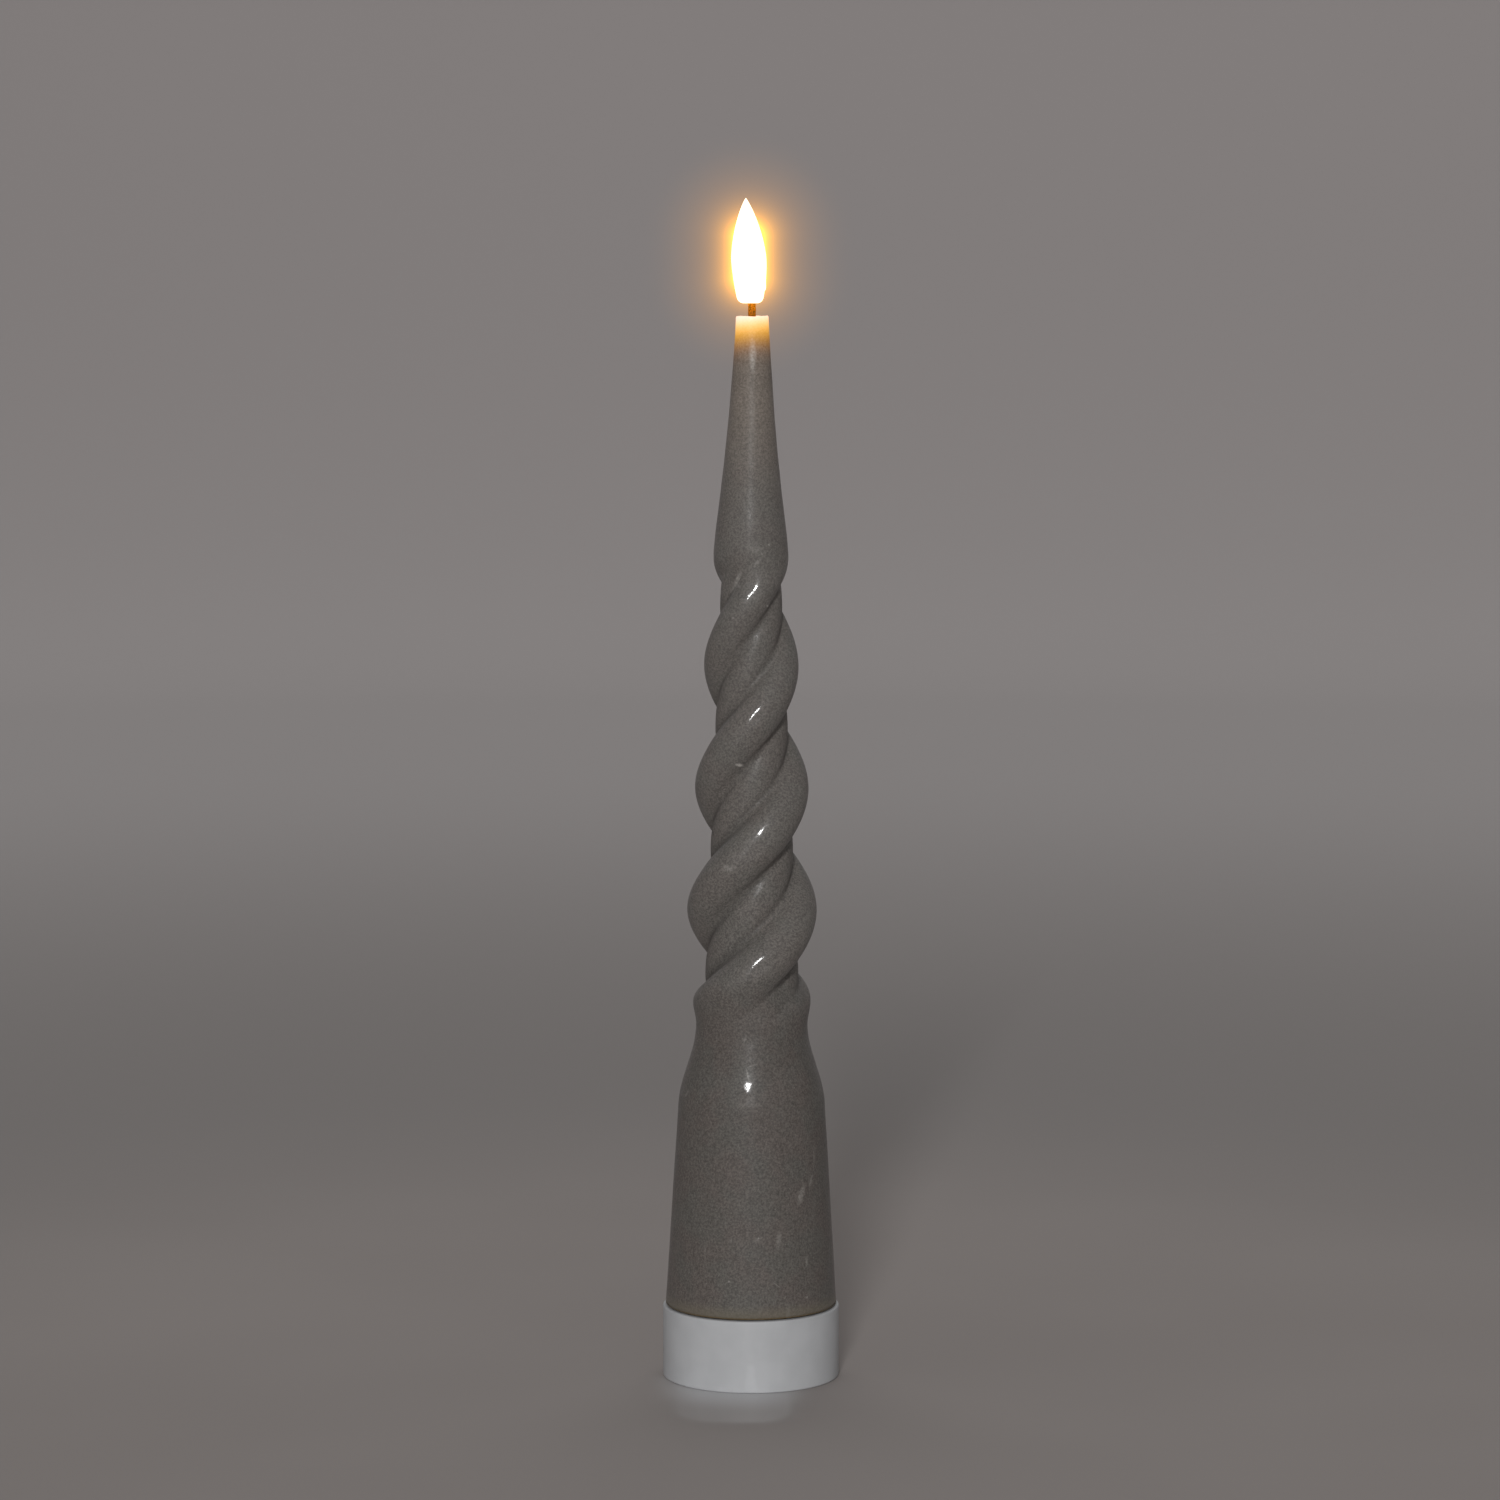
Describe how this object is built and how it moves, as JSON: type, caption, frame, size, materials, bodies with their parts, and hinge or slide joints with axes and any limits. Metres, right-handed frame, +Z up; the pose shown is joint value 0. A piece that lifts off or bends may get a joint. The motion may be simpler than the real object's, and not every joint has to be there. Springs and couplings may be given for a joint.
{
  "type": "led dinner candle",
  "caption": "Battery dinner candle with a twisted wax body, a glowing flame lens and a white twist-off base that holds the switch and contacts.",
  "frame": {"origin": "on the candle's axis, on the surface that the base ring stands on", "axes": "+Z up along the candle; -Y is the front that the picture shows; +X is to the right in the picture"},
  "size_m": [0.038, 0.038, 0.2527],
  "materials": {
    "wax": "smooth dark grey wax with a waxy sheen and a fine mottle",
    "base_plastic": "satin white moulded plastic",
    "inner_plastic": "off-white moulded plastic",
    "black_plastic": "fine matt black plastic",
    "red_insulation": "soft red wire insulation",
    "circuit_board": "green solder mask",
    "spring_steel": "nickel-plated spring steel",
    "screw_steel": "zinc-plated steel",
    "cell_jacket": "printed metal jacket",
    "capacitor_ceramic": "tan ceramic",
    "wick": "dark wick tube, lit orange by the flame",
    "led_epoxy": "clear amber epoxy",
    "flame_lens": "frosted translucent plastic, lit from inside"
  },
  "bodies": {
    "base_ring": {"locking_ring": "base_plastic"},
    "carrier": {"contact_carrier": "inner_plastic", "switch_case": "spring_steel", "switch_board": "circuit_board", "carrier_screw_1": "screw_steel", "carrier_screw_2": "screw_steel", "lower_negative_spring": "spring_steel", "lower_positive_plate": "spring_steel"},
    "knob": {"switch_knob": "black_plastic"},
    "candle": {"battery_housing": "inner_plastic", "battery_cell_1": "cell_jacket", "battery_cell_2": "cell_jacket", "upper_positive_plate": "spring_steel", "upper_negative_spring": "spring_steel", "control_board": "circuit_board", "board_screw_1": "screw_steel", "board_screw_2": "screw_steel", "timer_chip": "black_plastic", "timing_crystal": "screw_steel", "led_resistor": "black_plastic", "supply_capacitor": "capacitor_ceramic", "stem_foot": "inner_plastic", "stem_tube": "inner_plastic", "wick_holder": "inner_plastic", "wick_sleeve": "wick", "red_wire": "red_insulation", "black_wire": "black_plastic", "led_seat": "inner_plastic", "flame_led": "led_epoxy", "flame_lens": "flame_lens", "wax_shell": "wax"}
  },
  "joints": [
    {"name": "base_lock", "type": "hinge", "parent": "base_ring", "child": "carrier", "pos_m": [0, 0, 0], "axis": [0, 0, -1], "range_deg": [0, 30]},
    {"name": "candle_lift", "type": "slide", "parent": "carrier", "child": "candle", "axis": [0, 0, 1], "range_m": [0, 0.05]},
    {"name": "switch_slide", "type": "slide", "parent": "carrier", "child": "knob", "axis": [1, 0, 0], "range_m": [0, 0.003]}
  ]
}
